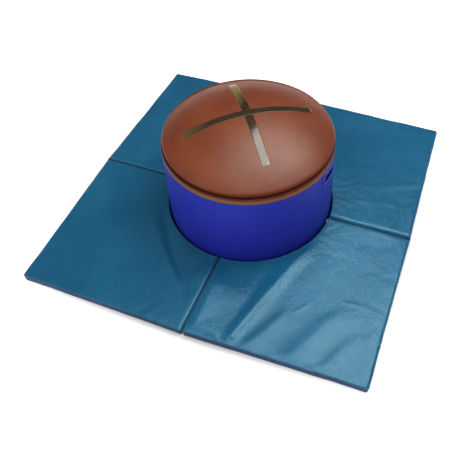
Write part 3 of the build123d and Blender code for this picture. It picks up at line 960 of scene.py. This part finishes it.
def build_stripe(name, node, start, end, turn, material):
    """One painted band over the dome from start to end along its line, with soft uneven edges."""
    rows = []
    for side in np.linspace(-1, 1, 17):
        row = []
        for place in np.linspace(start, end, 130):
            tip = min(place - start, end - place)
            square = math.sqrt(max(0.0, 1 - max(0.0, 1 - tip / STRIPE_END) ** 2))
            half = STRIPE_HALF - STRIPE_END * (1 - square)
            ragged = 0.9 * MM * fractal(place * 34, side * 2.5, 9.0 + start, 3)
            across = side * half + ragged * side**4
            along = place + 1.2 * MM * fractal(side * 6, start * 9, end, 2) * (tip < 5 * MM)
            x = along * math.cos(turn) - across * math.sin(turn)
            y = along * math.sin(turn) + across * math.cos(turn)
            radius = math.hypot(x, y)
            _, z = leather_shift(math.atan2(y, x), radius, dome_height(radius))
            row.append((x, y, z + PAINT_PROUD * (1 - 0.7 * abs(side) ** 7)))
        rows.append(row)
    stripe = grid_object(name, rows)
    thicken(stripe, PAINT_THICK)
    finish_piece(stripe, material, "mushroom", (node,) if node else ())


def build_cross():
    """One whole stripe, and one painted in two lengths that stop at its sides."""
    half = STRIPE_HALF
    build_stripe("stripe_across", "cross_stripe_across", -280 * MM, 280 * MM, ACROSS_TURN, PAINT_ACROSS)
    build_stripe("stripe_along_front", "cross_stripe_along", -STRIPE_REACH, -half, ALONG_TURN, PAINT_FRONT)
    build_stripe("stripe_along_back", None, half, BACK_REACH, ALONG_TURN, PAINT_BACK)


def drum_radius(height):
    """The drum narrows evenly from its foot to its top plate."""
    share = (height - DRUM_LOW) / (PLATE_LOW - DRUM_LOW)
    return DRUM_BASE_R + (PLATE_R - DRUM_BASE_R) * share


HAND_Z = 346 * MM
HAND_HALF_WIDTH, HAND_HALF_HEIGHT = 48 * MM, 22 * MM
HAND_STRAIGHT = HAND_HALF_WIDTH - HAND_HALF_HEIGHT  # from its middle to where its round ends start
HAND_TURN = math.radians(-6)
SKIN_THICK, SKIN_WAVE, SKIN_BELLY = 1.2 * MM, 0.9 * MM, 1.2 * MM
TUCK, TUCK_HEIGHT = 3 * MM, 5 * MM  # the skin is drawn in under the drum
SLOT_RISE, SLOT_REACH = 1.5 * MM, 16 * MM  # the lips push the skin out round the hand slots
SLOT_CUT = 1.5 * MM  # the skin is cut this far outside a slot
LIP_R, LIP_STEPS, LIP_POINTS = 5.5 * MM, 14, 160


def slot_distance(along, height):
    """Distance outside the rounded hand slot, at an arc length from its middle and a height."""
    return math.hypot(max(0.0, abs(along) - HAND_STRAIGHT), height - HAND_Z) - HAND_HALF_HEIGHT


def skin_radius(angle, height):
    """Where the drum's skin lies: slightly bellied, with slow waves round it."""
    x, y = math.cos(angle), math.sin(angle)
    slow = SKIN_WAVE * fractal(x * 1.6, y * 1.6, height * 5, 2)
    belly = SKIN_BELLY * math.sin(math.pi * (height - DRUM_LOW) / (PLATE_LOW - DRUM_LOW))
    return drum_radius(height) + slow + belly


def build_drum():
    """Blue vinyl drawn round the drum's foam, cut out at the hand slots."""
    foot = [DRUM_LOW + rise * MM for rise in (0, 1.5, 4)]
    top = [PLATE_LOW - fall * MM for fall in (3, 1)]
    heights = [*foot, *np.linspace(DRUM_LOW + 10 * MM, PLATE_LOW - 6 * MM, 64), *top]
    segments = 420
    points, faces = [], []
    for z in heights:
        tuck = TUCK * max(0.0, 1 - (z - DRUM_LOW) / TUCK_HEIGHT) ** 2
        for k in range(segments):
            angle = 2 * math.pi * k / segments
            r = skin_radius(angle, z) - SKIN_THICK / 2 - tuck
            gap = slot_distance(math.remainder(angle - HAND_TURN, math.pi) * r, z)
            if 0 <= gap < SLOT_REACH:
                r += SLOT_RISE * (1 - gap / SLOT_REACH)
            points.append((r * math.cos(angle), r * math.sin(angle), z))
    for quad in grid_faces(len(heights), segments, wrap_columns=True):
        centre = sum((Vector(points[i]) for i in quad), Vector()) / 4
        off = math.remainder(math.atan2(centre.y, centre.x) - HAND_TURN, math.pi)
        if slot_distance(off * math.hypot(centre.x, centre.y), centre.z) > SLOT_CUT:
            faces.append(quad)
    skin = new_object("drum_skin", points, faces)
    thicken(skin, SKIN_THICK)
    finish_piece(skin, BLUE, "mushroom", ("drum_cover", "drum_foam"))


def build_handholds():
    """A soft rolled lip round each hand slot, and the sleeve that lines it back into the drum, near-black as
    painted shade inside the slot.
    """
    lip = []  # how far out from the slot's edge, and how far proud of the skin
    for k in range(LIP_STEPS + 1):
        a = math.pi * (1.0 - 1.15 * k / LIP_STEPS)
        lip.append((LIP_R * (0.62 + math.cos(a)), 1.0 * MM + LIP_R * 0.72 * math.sin(a)))
    # The sleeve back into the drum: its near-black colour is painted shade inside the slot.
    shade_sleeve = [(-LIP_R * 0.38, -depth * MM) for depth in (30, 20, 10, 0)]
    path = []  # round the slot: the middle of its round end, then the direction from there
    for k in range(LIP_POINTS):
        t = 2 * math.pi * k / LIP_POINTS
        px, pz = math.cos(t), math.sin(t)
        path.append((math.copysign(HAND_STRAIGHT, px) * min(1, abs(px) * 3), px, pz))
    for name, side in (("left", -1), ("right", 1)):
        for part, outline, material, nodes in (
            ("lip", lip, TRIM, (f"{name}_handhold_liner",)),
            ("shade_sleeve", shade_sleeve, SLOT_SHADE_LINING, ()),
        ):
            rings = []
            for out, proud in outline:
                ring = []
                for shift, px, pz in path:
                    along = shift + px * (HAND_HALF_HEIGHT + out)
                    z = HAND_Z + pz * (HAND_HALF_HEIGHT + out)
                    angle = HAND_TURN + along / drum_radius(z)
                    r = side * (skin_radius(angle if side > 0 else math.pi + angle, z) + proud)
                    ring.append((r * math.cos(angle), r * math.sin(angle), z))
                rings.append(ring)
            piece = grid_object(f"{name}_hand_{part}", rings, wrap_columns=True)
            thicken(piece, 1.6 * MM, 0.0)
            finish_piece(piece, material, "mushroom", nodes)


def dress_cad_nodes():
    """Materials for the hard CAD nodes that show as they are."""
    fasteners = ["cap_bolts", "cap_washers", "cap_t_nuts"]
    fasteners += [f"{part}_screws" for part in ("top_plate", "base_board", "foot")]
    looks = (
        (STAINED_AND_SHADED, ["top_plate"]),
        # The gasket's dark red-brown is painted shade of the groove under the cap.
        (GROOVE_SHADE_FELT, ["felt_gasket"]),
        (PLYWOOD, ["pad_board", "drum_wall", "base_board"]),
        (RUBBER, ["rubber_feet"]),
        (ZINC, fasteners),
        (PINE, [f"post_{corner}" for corner in PANELS]),
    )
    for material, nodes in looks:
        for node in nodes:
            set_material(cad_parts[node], material)


# ---- stage


FLOOR_HALF, FLOOR_BELOW = 9, 0.6 * MM
GLOW_FROM, GLOW_FULL, GLOW = 0.74, 1.3, 0.95  # the floor glows to white away from the mat


def build_stage():
    """A pale floor just under the mat."""
    half = FLOOR_HALF
    corners = [(-half, -half, 0), (half, -half, 0), (half, half, 0), (-half, half, 0)]
    floor = new_object("floor", corners, [(0, 1, 2, 3)], smooth=False)
    floor.location.z = -FLOOR_BELOW
    s = Surface("pale_floor", Roughness=0.85, Specular_IOR_Level=0.1)
    s.colour(s.fade(s.noise(2.0), 0.3, 0.7, 0.95, 0.93))
    s.shader.inputs["Emission Color"].default_value = (1, 1, 1, 1)
    reach = s.node("VectorMath")
    reach.operation = "LENGTH"
    connect(s.tree, s.place, reach.inputs[0])
    away = reach.outputs["Value"]
    glow = s.node("MapRange", Value=away, From_Min=GLOW_FROM, From_Max=GLOW_FULL, To_Max=GLOW)
    connect(s.tree, glow.outputs["Result"], s.shader.inputs["Emission Strength"])
    set_material(floor, s.material)


def aim(thing, direction, turn):
    """Points a lamp or the camera in a direction and turns it about that."""
    thing.rotation_mode = "QUATERNION"
    look = direction.to_track_quat("-Z", "Y")
    thing.rotation_quaternion = look @ Matrix.Rotation(turn, 4, "Z").to_quaternion()


def area_light(name, place, target, size, power, turn=0.0):
    """A panel of a width and length, lit with power watts and turned about the line to its target."""
    light = bpy.data.lights.new(name, "AREA")
    light.shape = "RECTANGLE"
    light.size, light.size_y = size
    light.energy = power
    lamp = add_object(name, light)
    lamp.location = place
    aim(lamp, Vector(target) - Vector(place), turn)


def build_world():
    """Even light from all round: brightest from the front, and weaker near the horizon."""
    world = bpy.data.worlds.new("studio")
    world.use_nodes = True
    tree = world.node_tree
    parts = add_node(tree, "SeparateXYZ", Vector=add_node(tree, "TexCoord").outputs["Generated"]).outputs
    facing = {"From_Min": 0.9, "From_Max": -0.9, "To_Min": 0.13, "To_Max": 0.40}
    above = add_node(tree, "MapRange", Value=parts["Y"], **facing).outputs["Result"]
    horizon = add_maths(tree, "MULTIPLY", above, 0.65)
    reach = {"From_Min": 0.06, "From_Max": 0.34, "To_Min": horizon, "To_Max": above}
    rise = add_node(tree, "MapRange", Value=parts["Z"], **reach)
    background = tree.nodes["Background"]
    connect(tree, rise.outputs["Result"], background.inputs["Strength"])
    background.inputs["Color"].default_value = (0.95, 0.97, 1.0, 1.0)
    bpy.context.scene.world = world


def build_lights():
    """A window overhead, slanted as its glints on the mat show, a narrow one beside it, and two fills."""
    slant = math.radians(-17.7)
    area_light("overhead_soft_box", (0.29, 0.66, 3.0), (0.29, 0.66, 0), (1.67, 2.95), 79, slant)
    area_light("overhead_strip", (1.36, 0.92, 2.98), (1.36, 0.92, 0), (0.46, 1.6), 36, slant)
    area_light("front_fill", (-1.9, -3.7, 2.4), (-0.2, 0, 0.1), (4.0, 2.5), 84)
    area_light("right_fill", (3.4, -1.2, 1.6), (0, 0, 0.2), (2.0, 1.6), 7)
    bpy.context.scene.view_settings.view_transform = "Standard"


def build_camera():
    """The camera that took the photograph, as its perspective shows."""
    azimuth, elevation, roll = math.radians(20.86), math.radians(51.36), math.radians(-0.907)
    level = math.cos(elevation)
    back = Vector((math.sin(azimuth) * level, -math.cos(azimuth) * level, math.sin(elevation)))
    camera = add_object("camera", bpy.data.cameras.new("camera"))
    camera.data.lens = 44.18
    camera.data.shift_x, camera.data.shift_y = -0.0765, 0.0091
    camera.location = (0.7152, -1.6932, 2.0370)
    aim(camera, -back, roll)
    bpy.context.scene.camera = camera


for panel, (side_x, side_y) in PANELS.items():
    build_panel(panel, side_x, side_y)
build_webs()
build_tapes()
build_cap()
build_cross()
build_drum()
build_handholds()
dress_cad_nodes()
build_stage()
build_world()
build_lights()
build_camera()
